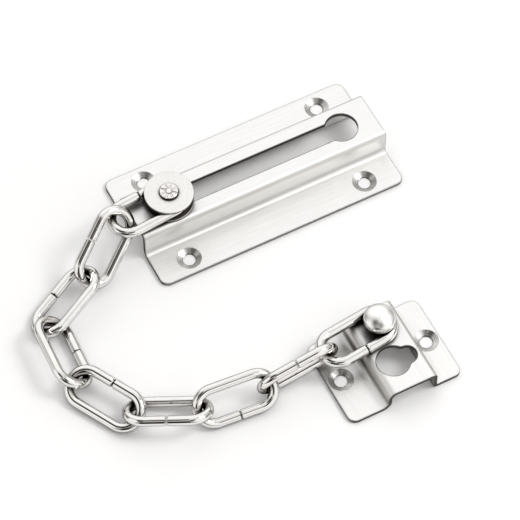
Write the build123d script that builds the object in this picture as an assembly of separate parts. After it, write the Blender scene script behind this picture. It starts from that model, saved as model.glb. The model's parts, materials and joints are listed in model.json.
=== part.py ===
"""Door chain: a slotted track plate, a riveted slider, a chain of bent-wire links and a keeper plate.

Millimetres, Z up. X runs along the track and Y across it. The origin is the centre of the track's
screw holes, on the face that is screwed to the door. Both plates lie face down on Z = 0, with the
slider at the locked end of the slot and the chain laid out in a loose bend between them.
"""
import os
from math import atan2, degrees, sqrt

from build123d import *

# Sheet metal of both plates
sheet = 1.5
screw_hole_d = 4.6
countersink_d = 8.6
countersink_depth = 1.1
plate_edge_r = 0.2

# Track plate
track_length = 95.0
track_width = 48.0
track_height = 12.0
track_corner_r = 3.0
channel_width = 19.4
channel_top_bend = 0.6
channel_foot_bend = 1.6
track_screw_inset_x = 12.9
track_screw_inset_y = 6.2
slot_width = 7.5
slot_inset = 11.0
entry_inset = 12.9
entry_d = 11.7

# Slider
slider_rest = 3.3
slot_clearance = 0.5
entry_clearance = 0.45
sheet_clearance = 0.1
stud_head_t = 1.6
stud_head_edge_r = 0.5
neck_d = 6.0
tenon_d = 5.0
rivet_d = 6.6
rivet_h = 1.0
rivet_flare = 0.45
rivet_edge_r = 0.4
stake_count = 8
stake_start = 0.9
stake_width = 0.8
stake_depth = 0.2
washer_d = 17.3
washer_t = 1.0
washer_edge_r = 0.25
bore_clearance = 0.03
link_headroom = 0.3

# Chain links
wire_d = 3.5
link_length = 30.7
link_width = 15.5
joint_gap = 0.3
joint_chamfer = 0.35
bearing_gap = 0.2
link_slack = 2.4

# Keeper plate, measured from its middle
keeper_length = 43.0
keeper_width = 33.0
keeper_height = 8.5
keeper_corner_r = 3.0
bridge_left = 7.5
bridge_right = 11.3
bridge_left_bend = 1.8
bridge_right_bend = 0.5
keeper_screw_inset = 5.0
keyhole_x = 0.5
keyhole_forward = 5.1
keyhole_offset = 5.4
keyhole_corner_r = 1.6
keyhole_lobe_clearance = 0.15

# Keeper knob, with its place on the keeper plate
knob_x = 2.7
knob_y = 8.9
knob_d = 11.2
knob_rim_h = 1.1
knob_rim_r = 0.5
knob_dome_h = 3.4
knob_shoulder_r = 2.2
post_d = 5.0
knob_tenon_d = 4.2
tail_d = 7.0
tail_h = 0.9
link_rest_gap = 0.1
knob_headroom = 0.4

# Each link's heading, climb and lean in degrees, and its share of the slack in the link before.
# The second link's climb is found from the floor, and the eighth's from the keeper.
# A lean past a right angle turns the butt joint to the other strand.
chain_lay = [
    (185, 0, 0, 0.0),
    (-146, None, -45, 1.0),
    (-155, -10, 22, 0.125),
    (-93, 1, 146, 0.46),
    (-61, -1, -155, 0.25),
    (-28, 4, -29, 0.42),
    (-6, 2, 44, 0.125),
    (0, None, -78, 0.21),
    (6, 0, 0, 0.125),
]

# Sizes that follow
track_screw_x = track_length / 2 - track_screw_inset_x
track_screw_y = track_width / 2 - track_screw_inset_y
slot_end_x = slot_inset - track_length / 2
slider_x = slot_end_x + slider_rest
entry_x = track_length / 2 - entry_inset
keeper_screw_x = keeper_length / 2 - keeper_screw_inset
stud_shank_d = slot_width - 2 * slot_clearance
stud_head_d = entry_d - 2 * entry_clearance
washer_gap = wire_d + link_headroom
lower_washer_z = track_height + sheet_clearance
neck_z = lower_washer_z + washer_t
upper_washer_z = neck_z + washer_gap
keyhole_lobe_d = stud_shank_d + 2 * keyhole_lobe_clearance
link_arc_r = (link_width - wire_d) / 2
link_run = (link_length - link_width) / 2
link_inside_r = link_arc_r - wire_d / 2
first_link_z = neck_z + washer_gap / 2
last_link_z = keeper_height + link_rest_gap + wire_d / 2
knob_z = keeper_height + link_rest_gap + wire_d + knob_headroom


def on_border(edge, border):
    """Whether an edge of a plate runs along its border, as seen in plan."""
    near = 0.001
    spot = edge.position_at(0.5)
    upright = Vector(0, 0, 1).cross(edge.tangent_at(0.5)).length < near
    return border.distance_to(Vector(spot.X, spot.Y, 0)) < near and not upright


def pressed_plate(middle_line, bends, width, corner_r, outline):
    """A bent strip of sheet along its middle line, with its corners rounded in plan and its rims broken."""
    strip = trace(FilletPolyline(*middle_line, radius=bends), line_width=sheet)
    plate = extrude(Plane.XZ * strip, width / 2, both=True)
    cut = RectangleRounded(*outline, corner_r)
    tall = 2 * max(z for _, z in middle_line)
    plate = plate & extrude(cut, tall)
    border = cut.face().outer_wire()
    return fillet(plate.edges().filter_by(lambda edge: on_border(edge, border)), plate_edge_r)


def screw_hole(x, y):
    """The countersunk hole of one screw in a flange, as the solid to cut away."""
    hole = Pos(x, y, 0) * Cylinder(screw_hole_d / 2, 2 * sheet)
    cone = Cone(
        screw_hole_d / 2,
        countersink_d / 2,
        countersink_depth,
        align=(Align.CENTER, Align.CENTER, Align.MAX),
    )
    return hole + Pos(x, y, sheet) * cone


def through_cut(outline, height):
    """A cut through the raised sheet of a plate whose top face is at the given height."""
    return Pos(0, 0, height - 2 * sheet) * extrude(outline, 3 * sheet)


def make_track_plate():
    middle = sheet / 2
    rise_y = channel_width / 2 - middle
    top_z = track_height - middle
    half = track_width / 2
    line = [(-half, middle), (-rise_y, middle), (-rise_y, top_z)]
    line += [(rise_y, top_z), (rise_y, middle), (half, middle)]
    foot_r = channel_foot_bend + middle
    top_r = channel_top_bend + middle
    plate = pressed_plate(
        line, [foot_r, top_r, top_r, foot_r], track_length, track_corner_r, (track_width, track_length)
    )
    plate = Rot(0, 0, 90) * plate
    slot = Pos((entry_x + slot_end_x) / 2, 0) * SlotCenterToCenter(entry_x - slot_end_x, slot_width)
    entry = Pos(entry_x, 0) * Circle(entry_d / 2)
    plate -= through_cut(slot + entry, track_height)
    for x in (-track_screw_x, track_screw_x):
        for y in (-track_screw_y, track_screw_y):
            plate -= screw_hole(x, y)
    return plate


def make_keeper_plate(middle_xy):
    middle = sheet / 2
    half = keeper_length / 2
    left_x = middle - bridge_left
    right_x = bridge_right - middle
    top_z = keeper_height - middle
    line = [(-half, middle), (left_x, middle), (left_x, top_z)]
    line += [(right_x, top_z), (right_x, middle), (half, middle)]
    left_r = bridge_left_bend + middle
    right_r = bridge_right_bend + middle
    plate = pressed_plate(
        line, [left_r, left_r, right_r, right_r], keeper_width, keeper_corner_r, (keeper_length, keeper_width)
    )
    keyhole = Pos(keyhole_x, -keyhole_forward) * Circle(entry_d / 2)
    keyhole += Pos(keyhole_x + keyhole_offset, -keyhole_forward) * Circle(keyhole_lobe_d / 2)
    corners = keyhole.vertices().sort_by(Axis.X)[:2]
    plate -= through_cut(fillet(corners, keyhole_corner_r), keeper_height)
    tenon_hole = Pos(knob_x, knob_y) * Circle(knob_tenon_d / 2 + bore_clearance)
    plate -= through_cut(tenon_hole, keeper_height)
    for x in (-keeper_screw_x, keeper_screw_x):
        plate -= screw_hole(x, 0)
    return Pos(middle_xy.X, middle_xy.Y, 0) * plate


def turned(profile):
    """A turned piece, from half of its section as (radius, height) lines, about its own Z axis."""
    return revolve(Plane.XZ * make_face(profile), Axis.Z)


def make_stud():
    head_top = track_height - sheet - sheet_clearance
    rivet_z = upper_washer_z + washer_t
    steps = [(stud_head_d / 2, head_top - stud_head_t), (stud_head_d / 2, head_top)]
    steps += [(stud_shank_d / 2, head_top), (stud_shank_d / 2, lower_washer_z)]
    steps += [(neck_d / 2, lower_washer_z), (neck_d / 2, upper_washer_z)]
    steps += [(tenon_d / 2, upper_washer_z), (tenon_d / 2, rivet_z)]
    steps += [(rivet_d / 2, rivet_z + rivet_flare), (rivet_d / 2, rivet_z + rivet_h)]
    outline = Polyline((0, head_top - stud_head_t), *steps, (0, rivet_z + rivet_h), close=True)
    stud = turned(outline)
    rims = stud.edges().filter_by(GeomType.CIRCLE).group_by(Axis.Z)
    stud = fillet(rims[-1], rivet_edge_r)
    low_rim = stud.edges().filter_by(GeomType.CIRCLE).group_by(Axis.Z)[0]
    stud = fillet(low_rim, stud_head_edge_r)
    mark_r = (stake_width**2 / 4 + stake_depth**2) / (2 * stake_depth)
    mark = Cylinder(mark_r, rivet_d / 2, align=(Align.CENTER, Align.CENTER, Align.MIN))
    mark = Pos(stake_start, 0, rivet_z + rivet_h - stake_depth + mark_r) * Rot(0, 90, 0) * mark
    stud -= [Rot(0, 0, turn * 360 / stake_count) * mark for turn in range(stake_count)]
    return Pos(slider_x, 0, 0) * stud


def make_washer(z, bore_d):
    ring = extrude(Circle(washer_d / 2) - Circle(bore_d / 2), washer_t)
    rims = ring.edges().filter_by(GeomType.CIRCLE).sort_by(SortBy.RADIUS)[-2:]
    return Pos(slider_x, 0, z) * fillet(rims, washer_edge_r)


def make_knob(axis_xy):
    """A button with a rounded rim and a domed crown, on a post that is riveted under the bridge."""
    under = keeper_height - sheet
    rim_top = knob_z + knob_rim_h
    stem = [(0, under - tail_h), (tail_d / 2, under - tail_h), (tail_d / 2, under)]
    stem += [(knob_tenon_d / 2, under), (knob_tenon_d / 2, keeper_height)]
    stem += [(post_d / 2, keeper_height), (post_d / 2, knob_z)]
    edge_x = knob_d / 2 - knob_rim_r
    edge_z = knob_z + knob_rim_r
    stem += [(edge_x, knob_z)]
    shoulder_x = knob_d / 2 - knob_shoulder_r
    crown_r = shoulder_x**2 + knob_dome_h**2 - knob_shoulder_r**2
    crown_r /= 2 * (knob_dome_h - knob_shoulder_r)
    crown_z = rim_top + knob_dome_h - crown_r
    meet = degrees(atan2(rim_top - crown_z, shoulder_x))
    outline = Curve() + [
        Polyline(*stem),
        CenterArc((edge_x, edge_z), knob_rim_r, -90, 90),
        Line((knob_d / 2, edge_z), (knob_d / 2, rim_top)),
        CenterArc((shoulder_x, rim_top), knob_shoulder_r, 0, meet),
        CenterArc((0, crown_z), crown_r, meet, 90 - meet),
        Line((0, rim_top + knob_dome_h), stem[0]),
    ]
    return Pos(axis_xy.X, axis_xy.Y, 0) * turned(outline)


def link_plane(near_arc, heading, climb, lean):
    """The plane of a link: X along it, Z square to it, from the centre of its near end's arc."""
    along = Vector(1, 0, 0).rotate(Axis.Y, -climb).rotate(Axis.Z, heading)
    square = Vector(0, 0, 1).rotate(Axis.X, lean).rotate(Axis.Y, -climb).rotate(Axis.Z, heading)
    return Plane(near_arc + along * link_run, x_dir=along, z_dir=square)


def far_arc(link):
    return link.origin + link.x_dir * link_run


def hang(before, heading, climb, lean, slack):
    """The next link, pulled along the line where its plane crosses that of the link before."""
    turn = link_plane(Vector(), heading, climb, lean)
    pull = before.z_dir.cross(turn.z_dir).normalized()
    if pull.dot(before.x_dir + turn.x_dir) < 0:
        pull = pull * -1
    near = far_arc(before) + pull * (2 * link_inside_r - slack * link_slack)
    return link_plane(near, heading, climb, lean)


def lowest(link):
    """The height of a link's lowest point, which lies on one of its end arcs."""
    end_z = link.origin.Z - abs(link.x_dir.Z) * link_run
    return end_z - link_arc_r * sqrt(max(0.0, 1 - link.z_dir.Z**2)) - wire_d / 2


def find_climb(height_over):
    """The climb at which a height that grows with it comes to zero."""
    steepest = 60
    halvings = 40
    low, high = -steepest, steepest
    for _ in range(halvings):
        middle = (low + high) / 2
        if height_over(middle) > 0:
            high = middle
        else:
            low = middle
    return (low + high) / 2


def lay_chain():
    """The plane of every link, from the slider to the keeper."""
    heading, climb, lean, _ = chain_lay[0]
    pulled = link_inside_r - neck_d / 2 - bearing_gap
    ahead = link_plane(Vector(), heading, climb, lean).x_dir
    first = link_plane(Vector(slider_x, 0, first_link_z) + ahead * pulled, heading, climb, lean)

    def floor_run(second_climb):
        heading, _, lean, slack = chain_lay[1]
        run = [hang(first, heading, second_climb, lean, slack)]
        for lay in chain_lay[2:7]:
            run.append(hang(run[-1], *lay))
        return run

    run = floor_run(find_climb(lambda climb: min(lowest(link) for link in floor_run(climb)[1:])))

    def keeper_run(eighth_climb):
        heading, _, lean, slack = chain_lay[7]
        eighth = hang(run[-1], heading, eighth_climb, lean, slack)
        return [eighth, hang(eighth, *chain_lay[8])]

    end = keeper_run(find_climb(lambda climb: keeper_run(climb)[1].origin.Z - last_link_z))
    return [first] + run + end


def make_link(plane):
    """A link of round wire, bent to an oval whose two ends butt in the middle of one strand."""
    x, y = link_run, link_arc_r
    joint_x = joint_gap / 2
    path = Curve() + [
        Line((joint_x, -y), (x, -y)),
        ThreePointArc((x, -y), (x + y, 0), (x, y)),
        Line((x, y), (-x, y)),
        ThreePointArc((-x, y), (-x - y, 0), (-x, -y)),
        Line((-x, -y), (-joint_x, -y)),
    ]
    section = Plane((joint_x, -y, 0), z_dir=(1, 0, 0)) * Circle(wire_d / 2)
    wire = sweep(section, path=path)
    ends = wire.faces().filter_by(GeomType.PLANE).edges()
    return plane.location * chamfer(ends, joint_chamfer)


links = lay_chain()
last_link = links[-1]
knob_pull = link_inside_r - post_d / 2 - bearing_gap
knob_axis = far_arc(last_link) + last_link.x_dir * knob_pull
keeper_middle = knob_axis - Vector(knob_x, knob_y, 0)

nodes = {
    "track_plate": make_track_plate(),
    "slider_stud": make_stud(),
    "slider_lower_washer": make_washer(lower_washer_z, neck_d + 2 * bore_clearance),
    "slider_upper_washer": make_washer(upper_washer_z, tenon_d + 2 * bore_clearance),
    "keeper_plate": make_keeper_plate(keeper_middle),
    "keeper_knob": make_knob(knob_axis),
}
for number, plane in enumerate(links, start=1):
    nodes[f"chain_link_{number}"] = make_link(plane)

os.makedirs("parts", exist_ok=True)
for name, solid in nodes.items():
    export_step(solid, f"parts/{name}.step")
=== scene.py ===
"""Steel door chain on a white studio floor."""
import json
from math import cos, pi, radians, sin

import bpy
from mathutils import Matrix, Vector


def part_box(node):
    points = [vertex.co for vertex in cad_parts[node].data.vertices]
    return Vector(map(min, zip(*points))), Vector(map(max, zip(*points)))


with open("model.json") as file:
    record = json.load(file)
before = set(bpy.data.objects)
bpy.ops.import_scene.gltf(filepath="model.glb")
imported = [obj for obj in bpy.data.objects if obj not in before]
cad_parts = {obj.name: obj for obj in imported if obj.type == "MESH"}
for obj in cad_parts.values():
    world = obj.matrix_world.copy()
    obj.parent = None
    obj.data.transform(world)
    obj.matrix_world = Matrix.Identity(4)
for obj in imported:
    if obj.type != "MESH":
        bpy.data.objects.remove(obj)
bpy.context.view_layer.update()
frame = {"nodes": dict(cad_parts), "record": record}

X = (1.0, 0.0, 0.0)
Y = (0.0, 1.0, 0.0)
Z = (0.0, 0.0, 1.0)
MM_PER_M = 1000

# Camera, as a place that it looks at, a direction and a focal length
LOOK_AT = Vector((-0.0128, -0.02895, 0.0))
AZIMUTH = radians(-28.57)
ELEVATION = radians(58.16)
ROLL = radians(1.01)
DISTANCE = 0.96945
LENS_MM = 193.67
SENSOR_MM = 36.0

# Light. Directions are in degrees: round from the camera's side, positive to its right, and up
# from the floor. A panel or a dip is full within its inner angle and ends at its outer angle.
# A panel's tone is its brightness, and a dip's tone is the share of the brightness that it leaves.
ROOM = 1.16
WALL_TONES = ((0.0, 0.14), (0.26, 0.36), (0.5, 0.48), (0.87, 0.6), (1.0, 0.8))
PANELS = (
    {"azimuth": -170, "elevation": 40, "inner": 30, "outer": 58, "tone": 1.0},
    {"azimuth": 54, "elevation": 32, "inner": 28, "outer": 42, "tone": 0.94},
    {"azimuth": -70, "elevation": 22, "inner": 22, "outer": 34, "tone": 0.94},
    {"azimuth": 110, "elevation": 45, "inner": 25, "outer": 45, "tone": 0.66},
)
DIPS = (
    {"azimuth": -110, "elevation": 8, "inner": 8, "outer": 22, "tone": 0.6},
    {"azimuth": 100, "elevation": 4, "inner": 10, "outer": 26, "tone": 0.6},
    {"azimuth": -50, "elevation": 61, "inner": 15, "outer": 19, "tone": 0.04},
    {"azimuth": 16, "elevation": 56, "inner": 11, "outer": 14, "tone": 0.04},
)
WARMTH = (
    (0.0, (0.0, 0.0, 0.0)),
    (0.3, (0.3, 0.282, 0.262)),
    (0.7, (0.7, 0.69, 0.675)),
    (1.0, (1.0, 1.0, 1.0)),
)
KEY_WATTS = 3.5
KEY_SIZE = 0.35
KEY_AWAY = 1.1
KEY_AZIMUTH = 95
KEY_ELEVATION = 53

# Dark slit in the tent. Each pair is a part of the direction, at the slit's border and well inside.
SLIT_AZIMUTH = -14
SLIT_TONE = 0.05
SLIT_SIDE = (0.3, 0.2)
SLIT_AHEAD = (0.0, 0.1)
SLIT_FOOT = (0.0, 0.03)
SLIT_HEAD = (0.72, 0.6)

# Floor
FLOOR_SIZE = 4.0
FLOOR_COLOUR = (0.94, 0.94, 0.94, 1.0)
FLOOR_GLOW = 0.09

# Grain of all the metals: the noise at which it is darkest and lightest, and its height in metres
GRAIN_DARK = 0.3
GRAIN_LIGHT = 0.7
GRAIN_DEPTH = 0.0001

# How much of the light a metal still returns at a glancing angle
EDGE_TINT = (0.2, 0.19, 0.18, 1.0)

# Painted shade, a dark tone where pieces lie close, and the shares of open sky at which it starts
# and is full
PAINTED_SHADE_COLOUR = (0.1, 0.09, 0.08, 1.0)
OPEN_SHADE_ONSET = (0.82, 0.2)
TIGHT_SHADE_ONSET = (0.96, 0.58)

# Finishes of the small pieces: the grain's cells are to the metre, the painted shade's reach is in
# metres
FINISHES = {
    "washer_steel": {
        "dark": (0.76, 0.75, 0.73), "light": (0.89, 0.88, 0.86), "rough": (0.36, 0.48),
        "cells": (2600.0, 2600.0, 2600.0), "bump": 0.12, "reach": 0.01, "joint": TIGHT_SHADE_ONSET,
    },
    "rivet_steel": {
        "dark": (0.76, 0.74, 0.72), "light": (0.9, 0.88, 0.86), "rough": (0.22, 0.34),
        "cells": (1500.0, 1500.0, 1500.0), "bump": 0.1, "reach": 0.004, "joint": TIGHT_SHADE_ONSET,
    },
    "bright_wire": {
        "dark": (0.79, 0.775, 0.755), "light": (0.84, 0.825, 0.805), "rough": (0.03, 0.06),
        "cells": (260.0, 260.0, 260.0), "bump": 0.01, "reach": 0.009, "joint": OPEN_SHADE_ONSET,
    },
    "polished_knob": {
        "dark": (0.92, 0.91, 0.89), "light": (0.96, 0.95, 0.93), "rough": (0.25, 0.31),
        "cells": (400.0, 400.0, 400.0), "bump": 0.02, "reach": 0.008, "joint": TIGHT_SHADE_ONSET,
    },
}

# Painted shade on the upright walls of turned pieces, and the upward part of the normal at which it
# starts and is full
WALL_SHADE_COLOURS = {
    "rivet_steel": PAINTED_SHADE_COLOUR,
    "washer_steel": (0.3, 0.29, 0.28, 1.0),
}
WALL_LEAN = (0.85, 0.45)

# Both plates, which are bent from one sheet and drawn along their length
SHEET_FINISH = {
    "dark": (0.81, 0.805, 0.79), "light": (0.89, 0.885, 0.87), "rough": (0.34, 0.42),
    "bump": 0.03, "joint": OPEN_SHADE_ONSET,
}
PLATES = {
    "track_plate": {
        "material": "satin_track", "length": X, "width": Y, "cells": (70.0, 2500.0, 2500.0),
        "reach": 0.004, "screws": "track_screws", "hollow": "track_channel",
    },
    "keeper_plate": {
        "material": "satin_keeper", "length": Y, "width": X, "cells": (2500.0, 70.0, 2500.0),
        "reach": 0.012, "screws": "keeper_screws", "hollow": "keeper_bridge",
    },
}
CLOUD_CELLS = (90.0, 90.0, 90.0)
CLOUD_ROUGHNESS = (-0.04, 0.04)

# Sheared edges of the sheet, in metres, duller steel whose dark tones also carry painted shade. A
# pair says where a mask starts and where it is full.
SHEET = 0.0015
SHEET_FADE = 1.05
SIDE_FADE = 0.0002
CUT_DULL_AND_SHADE_COLOUR = (0.14, 0.135, 0.13, 1.0)
RIM_DULL_AND_SHADE_COLOUR = (0.3, 0.295, 0.285, 1.0)
CUT_ROUGHNESS = 0.5
CUT_LEAN = (0.9, 0.6)
END_FACING = (0.6, 0.8)

# Painted shade in a line along the sheet's sharp edges, by how far the rounded surface turns from
# the true one
EDGE_SHADE_COLOUR = (0.14, 0.135, 0.13, 1.0)
LINE_WIDTH = 0.0007
LINE_SAMPLES = 8
LINE_TURN = (0.995, 0.93)

# Painted shade on the upper bends of the sheet, by the upward part of the normal and by the share
# of the plate's height
BEND_SHADE_COLOUR = (0.66, 0.64, 0.615, 1.0)
BEND_OFF_WALL = (-0.1, 0.5)
BEND_OFF_FLAT = (0.99, 0.6)
BEND_HEIGHT = (0.4, 0.5)

# Countersinks, in metres, with turned rings whose strength swings between two shares. Their darker
# tone is painted reflection, laid along the turned marks.
SINK_RADIUS = 0.0043
SINK_FADE = 1.02
SINK_MARKS_AND_REFLECTION_COLOUR = (0.52, 0.51, 0.495, 1.0)
SINK_GLOSS = 0.1
RING_PITCH = 0.0006
RING_STRENGTH = (0.45, 1.0)


def add_node(tree, kind, **inputs):
    node = tree.nodes.new(kind)
    for name, value in inputs.items():
        node.inputs[name.replace("_", " ")].default_value = value
    return node


def step(tree, value, start, end):
    """0 before start and 1 after end, with a smooth slope between."""
    node = add_node(tree, "ShaderNodeMapRange", From_Min=start, From_Max=end)
    node.interpolation_type = "SMOOTHSTEP"
    tree.links.new(value, node.inputs["Value"])
    return node.outputs["Result"]


def spread(tree, value, low, high):
    """Takes a value from 0 to 1 to the range from low to high."""
    node = add_node(tree, "ShaderNodeMapRange", To_Min=low, To_Max=high)
    tree.links.new(value, node.inputs["Value"])
    return node.outputs["Result"]


def calculate(tree, operation, *values):
    """A sum of links and plain numbers."""
    node = tree.nodes.new("ShaderNodeMath")
    node.operation = operation
    for socket, value in zip(node.inputs, values):
        if isinstance(value, float):
            socket.default_value = value
        else:
            tree.links.new(value, socket)
    return node.outputs["Value"]


def overlap(tree, mask, *others):
    """A mask of the places that all the given masks share."""
    for other in others:
        mask = calculate(tree, "MULTIPLY", mask, other)
    return mask


def along(tree, vector, axis):
    """How far a vector reaches along an axis."""
    node = tree.nodes.new("ShaderNodeVectorMath")
    node.operation = "DOT_PRODUCT"
    node.inputs[1].default_value = axis
    tree.links.new(vector, node.inputs[0])
    return node.outputs["Value"]


def ramp(tree, value, stops):
    """Takes a value through colours that are given as (place, colour)."""
    node = tree.nodes.new("ShaderNodeValToRGB")
    band = node.color_ramp.elements
    band.remove(band[1])
    (first_place, first_colour), *others = stops
    band[0].position = first_place
    band[0].color = (*first_colour, 1.0)
    for place, colour in others:
        band.new(place).color = (*colour, 1.0)
    tree.links.new(value, node.inputs["Fac"])
    return node.outputs["Color"]


def blend(tree, mask, under, over):
    """Lays one colour over another where a mask is 1."""
    node = tree.nodes.new("ShaderNodeMix")
    node.data_type = "RGBA"
    node.inputs["B"].default_value = over
    tree.links.new(mask, node.inputs["Factor"])
    tree.links.new(under, node.inputs["A"])
    return node.outputs["Result"]


def own_space(tree, name):
    """The place ("Object") or the normal ("Normal") of a surface, in the object's own space."""
    return tree.nodes.new("ShaderNodeTexCoord").outputs[name]


def facing(tree, axis):
    """How squarely a surface faces along an axis, either way, from 0 to 1."""
    return calculate(tree, "ABSOLUTE", along(tree, own_space(tree, "Normal"), axis))


def noise(tree, cells):
    """Noise in the object's own space, with so many cells to the metre along each axis."""
    shape = add_node(tree, "ShaderNodeMapping", Scale=cells)
    node = add_node(tree, "ShaderNodeTexNoise", Scale=1.0, Detail=3.0)
    tree.links.new(own_space(tree, "Object"), shape.inputs["Vector"])
    tree.links.new(shape.outputs["Vector"], node.inputs["Vector"])
    return node.outputs["Fac"]


def painted_shade(tree, reach, joint):
    """A mask of painted shade, where a surface lies close to another surface."""
    shelter = add_node(tree, "ShaderNodeAmbientOcclusion", Distance=reach)
    return step(tree, shelter.outputs["AO"], *joint)


def metal(name, dark, light, rough, cells, bump, reach, joint):
    """Bare metal whose tone, gloss and surface vary with a grain, with painted shade where pieces
    lie close.
    """
    material = bpy.data.materials.new(name)
    material.use_nodes = True
    tree = material.node_tree
    shader = tree.nodes["Principled BSDF"]
    grain = noise(tree, cells)
    colour = ramp(tree, grain, ((GRAIN_DARK, dark), (GRAIN_LIGHT, light)))
    # Painted shade: the colour goes dark where the surface lies close to another one
    colour = blend(tree, painted_shade(tree, reach, joint), colour, PAINTED_SHADE_COLOUR)
    tree.links.new(colour, shader.inputs["Base Color"])
    tree.links.new(spread(tree, grain, *rough), shader.inputs["Roughness"])
    relief = add_node(tree, "ShaderNodeBump", Strength=bump, Distance=GRAIN_DEPTH)
    tree.links.new(grain, relief.inputs["Height"])
    tree.links.new(relief.outputs["Normal"], shader.inputs["Normal"])
    shader.inputs["Metallic"].default_value = 1.0
    shader.inputs["Specular Tint"].default_value = EDGE_TINT
    return material


def paint_wall_shade(material, colour):
    """Lays painted shade, a darker tone, on a turned piece's upright side."""
    tree = material.node_tree
    tint = tree.nodes["Principled BSDF"].inputs["Base Color"]
    shaded_wall = step(tree, facing(tree, Z), *WALL_LEAN)
    tree.links.new(blend(tree, shaded_wall, tint.links[0].from_socket, colour), tint)


def edge_shade_line(tree):
    """A mask of a thin line of painted shade along each sharp edge."""
    soft = add_node(tree, "ShaderNodeBevel", Radius=LINE_WIDTH)
    soft.samples = LINE_SAMPLES
    sharp = tree.nodes.new("ShaderNodeNewGeometry")
    match = tree.nodes.new("ShaderNodeVectorMath")
    match.operation = "DOT_PRODUCT"
    tree.links.new(soft.outputs["Normal"], match.inputs[0])
    tree.links.new(sharp.outputs["Normal"], match.inputs[1])
    return step(tree, match.outputs["Value"], *LINE_TURN)


def screw_distance(tree, mount):
    """How far each place lies from the nearest screw's axis of a mount, in metres."""
    apart = tree.nodes.new("ShaderNodeVectorMath")
    apart.operation = "SUBTRACT"
    apart.inputs[1].default_value = mount["pos_m"]
    tree.links.new(own_space(tree, "Object"), apart.inputs[0])
    squares = []
    for axis, name in ((X, "spacing_x_mm"), (Y, "spacing_y_mm")):
        spacing = mount["dims"].get(name, 0.0) / MM_PER_M
        side = calculate(tree, "ABSOLUTE", along(tree, apart.outputs["Vector"], axis))
        side = calculate(tree, "SUBTRACT", side, spacing / 2)
        squares.append(calculate(tree, "MULTIPLY", side, side))
    return calculate(tree, "SQRT", calculate(tree, "ADD", *squares))


def between(tree, value, low, high):
    """1 from low to high and 0 outside."""
    above = step(tree, value, low - SIDE_FADE, low)
    below = step(tree, value, high + SIDE_FADE, high)
    return overlap(tree, above, below)


def cut_edges(tree, node, plate, hollow):
    """Masks of a plate's rim, and of its ends and the walls of what is cut through its top."""
    place = own_space(tree, "Object")
    height = along(tree, place, Z)
    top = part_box(node)[1][2]
    upright = step(tree, facing(tree, Z), *CUT_LEAN)
    rim = step(tree, height, SHEET_FADE * SHEET, SHEET)
    upper = step(tree, height, top - SHEET_FADE * SHEET, top - SHEET)
    side = plate["width"].index(1.0)
    corner, far_corner = hollow["box_m"]
    inside = between(tree, along(tree, place, plate["width"]), corner[side], far_corner[side])
    end = step(tree, facing(tree, plate["length"]), *END_FACING)
    cut = calculate(tree, "MAXIMUM", overlap(tree, upper, inside), end)
    return overlap(tree, upright, rim), overlap(tree, upright, cut)


def bend_shade_mask(tree, node):
    """A mask of painted shade on each upper bend of a plate."""
    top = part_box(node)[1][2]
    start, full = BEND_HEIGHT
    lean = facing(tree, Z)
    height = along(tree, own_space(tree, "Object"), Z)
    return overlap(
        tree,
        step(tree, lean, *BEND_OFF_WALL),
        step(tree, lean, *BEND_OFF_FLAT),
        step(tree, height, start * top, full * top),
    )


def sheet_metal(node, plate, mount, hollow):
    """Satin sheet with a drawn grain, cloudy gloss, painted shade on each upper bend and along the
    sharp edges, duller sheared edges with painted shade, and countersinks whose turned marks carry
    painted reflection.
    """
    material = metal(plate["material"], cells=plate["cells"], reach=plate["reach"], **SHEET_FINISH)
    tree = material.node_tree
    shader = tree.nodes["Principled BSDF"]
    rim, cut = cut_edges(tree, node, plate, hollow)
    out = screw_distance(tree, mount)
    sink = step(tree, out, SINK_FADE * SINK_RADIUS, SINK_RADIUS)
    wave = calculate(tree, "SINE", calculate(tree, "MULTIPLY", out, 2 * pi / RING_PITCH))
    # Painted reflection on the countersinks, in ring bands along the turned marks
    ring_marks_and_reflection = overlap(tree, sink, spread(tree, wave, *RING_STRENGTH))
    colour = shader.inputs["Base Color"].links[0].from_socket
    # Painted shade on each upper bend and along the sharp edges; the rim and cut tones are duller
    # sheared steel with painted shade on top
    for mask, tone in (
        (bend_shade_mask(tree, node), BEND_SHADE_COLOUR),
        (ring_marks_and_reflection, SINK_MARKS_AND_REFLECTION_COLOUR),
        (edge_shade_line(tree), EDGE_SHADE_COLOUR),
        (rim, RIM_DULL_AND_SHADE_COLOUR),
        (cut, CUT_DULL_AND_SHADE_COLOUR),
    ):
        colour = blend(tree, mask, colour, tone)
    tree.links.new(colour, shader.inputs["Base Color"])
    rough = shader.inputs["Roughness"].links[0].from_socket
    cloud = spread(tree, noise(tree, CLOUD_CELLS), *CLOUD_ROUGHNESS)
    rough = calculate(tree, "ADD", rough, cloud)
    rough = calculate(tree, "SUBTRACT", rough, calculate(tree, "MULTIPLY", sink, SINK_GLOSS))
    sheared = calculate(tree, "MAXIMUM", rim, cut)
    sheared = calculate(tree, "MULTIPLY", sheared, CUT_ROUGHNESS)
    rough = calculate(tree, "MAXIMUM", rough, sheared)
    tree.links.new(rough, shader.inputs["Roughness"])
    return material


def dress(node, material):
    """Gives a node of the frame its finish, over all its faces."""
    slots = frame["nodes"][node].data.materials
    slots.clear()
    slots.append(material)


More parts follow.
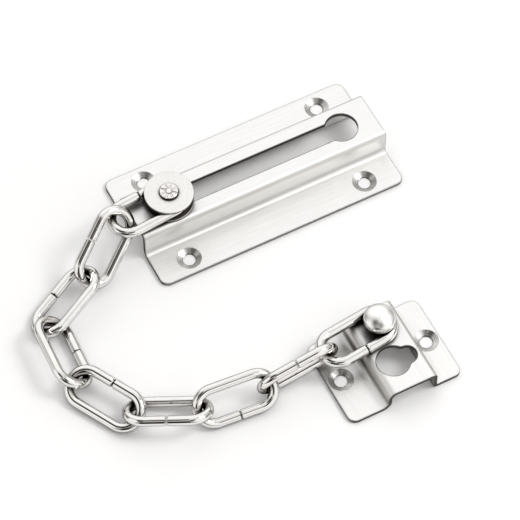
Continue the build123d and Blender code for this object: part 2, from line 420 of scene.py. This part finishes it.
def make_floor():
    """A white floor that takes shadows, with a little glow where it is seen or mirrored."""
    bpy.ops.mesh.primitive_plane_add(size=FLOOR_SIZE)
    floor = bpy.context.object
    floor.name = "floor"
    material = bpy.data.materials.new("white_floor")
    material.use_nodes = True
    tree = material.node_tree
    tree.nodes.clear()
    matte = add_node(tree, "ShaderNodeBsdfDiffuse", Color=FLOOR_COLOUR)
    path = tree.nodes.new("ShaderNodeLightPath")
    seen = calculate(tree, "MAXIMUM", path.outputs["Is Camera Ray"], path.outputs["Is Glossy Ray"])
    seen = calculate(tree, "MAXIMUM", seen, path.outputs["Is Transmission Ray"])
    glow = tree.nodes.new("ShaderNodeEmission")
    tree.links.new(calculate(tree, "MULTIPLY", seen, FLOOR_GLOW), glow.inputs["Strength"])
    both = tree.nodes.new("ShaderNodeAddShader")
    out = tree.nodes.new("ShaderNodeOutputMaterial")
    tree.links.new(matte.outputs["BSDF"], both.inputs[0])
    tree.links.new(glow.outputs["Emission"], both.inputs[1])
    tree.links.new(both.outputs["Shader"], out.inputs["Surface"])
    floor.data.materials.append(material)


def heading(azimuth, elevation=0):
    """A direction, from degrees round from the camera's side and up from the floor."""
    turn = AZIMUTH + radians(azimuth)
    rise = radians(elevation)
    return Vector((sin(turn) * cos(rise), -cos(turn) * cos(rise), sin(rise)))


def patch(tree, direction, spot):
    """A mask of a round patch of the tent."""
    reach = along(tree, direction, heading(spot["azimuth"], spot["elevation"]))
    return step(tree, reach, cos(radians(spot["outer"])), cos(radians(spot["inner"])))


def dim(tree, tone, mask, low):
    """Takes a tone down to a share of itself under a mask."""
    return calculate(tree, "MULTIPLY", tone, spread(tree, mask, 1.0, low))


def make_world():
    """A pale tent with four bright panels, two dimmer corners, two dark patches and a dark slit."""
    world = bpy.data.worlds.new("studio")
    bpy.context.scene.world = world
    world.use_nodes = True
    tree = world.node_tree
    direction = tree.nodes.new("ShaderNodeTexCoord").outputs["Generated"]
    height = along(tree, direction, Z)
    tone = ramp(tree, height, [(place, (grey, grey, grey)) for place, grey in WALL_TONES])
    for panel in PANELS:
        lit = calculate(tree, "MULTIPLY", patch(tree, direction, panel), panel["tone"])
        tone = calculate(tree, "MAXIMUM", tone, lit)
    for dip in DIPS:
        tone = dim(tree, tone, patch(tree, direction, dip), dip["tone"])
    aside = along(tree, direction, heading(SLIT_AZIMUTH + 90))
    slit = overlap(
        tree,
        step(tree, calculate(tree, "ABSOLUTE", aside), *SLIT_SIDE),
        step(tree, along(tree, direction, heading(SLIT_AZIMUTH)), *SLIT_AHEAD),
        step(tree, height, *SLIT_FOOT),
        step(tree, height, *SLIT_HEAD),
    )
    tone = dim(tree, tone, slit, SLIT_TONE)
    sky = tree.nodes["Background"]
    tree.links.new(ramp(tree, tone, WARMTH), sky.inputs["Color"])
    sky.inputs["Strength"].default_value = ROOM


def make_key_light():
    lamp = bpy.data.lights.new("key", "AREA")
    lamp.energy = KEY_WATTS
    lamp.size = KEY_SIZE
    key = bpy.data.objects.new("key", lamp)
    bpy.context.scene.collection.objects.link(key)
    out = heading(KEY_AZIMUTH, KEY_ELEVATION)
    key.location = LOOK_AT + out * KEY_AWAY
    key.rotation_euler = out.to_track_quat("Z", "Y").to_euler()


def make_camera():
    across = cos(ELEVATION)
    back = Vector((sin(AZIMUTH) * across, -cos(AZIMUTH) * across, sin(ELEVATION)))
    right = Vector((cos(AZIMUTH), sin(AZIMUTH), 0.0))
    up = back.cross(right)
    turn = Matrix((right, up, back)).transposed() @ Matrix.Rotation(ROLL, 3, "Z")
    data = bpy.data.cameras.new("camera")
    data.lens = LENS_MM
    data.sensor_width = SENSOR_MM
    camera = bpy.data.objects.new("camera", data)
    bpy.context.scene.collection.objects.link(camera)
    camera.matrix_world = Matrix.Translation(LOOK_AT + back * DISTANCE) @ turn.to_4x4()
    bpy.context.scene.camera = camera


materials = {slot: metal(slot, **finish) for slot, finish in FINISHES.items()}
# Painted shade on the upright sides of the rivet and the washers
for slot, colour in WALL_SHADE_COLOURS.items():
    paint_wall_shade(materials[slot], colour)
for subpart in frame["record"]["subparts"]:
    if subpart["material_slot"] in materials:
        dress(subpart["node"], materials[subpart["material_slot"]])
mounts = {mount["name"]: mount for mount in frame["record"]["mounts"]}
hollows = {opening["name"]: opening for opening in frame["record"]["physics"]["openings"]}
for node, plate in PLATES.items():
    dress(node, sheet_metal(node, plate, mounts[plate["screws"]], hollows[plate["hollow"]]))

make_floor()
make_world()
make_key_light()
make_camera()
bpy.context.scene.view_settings.view_transform = "Standard"
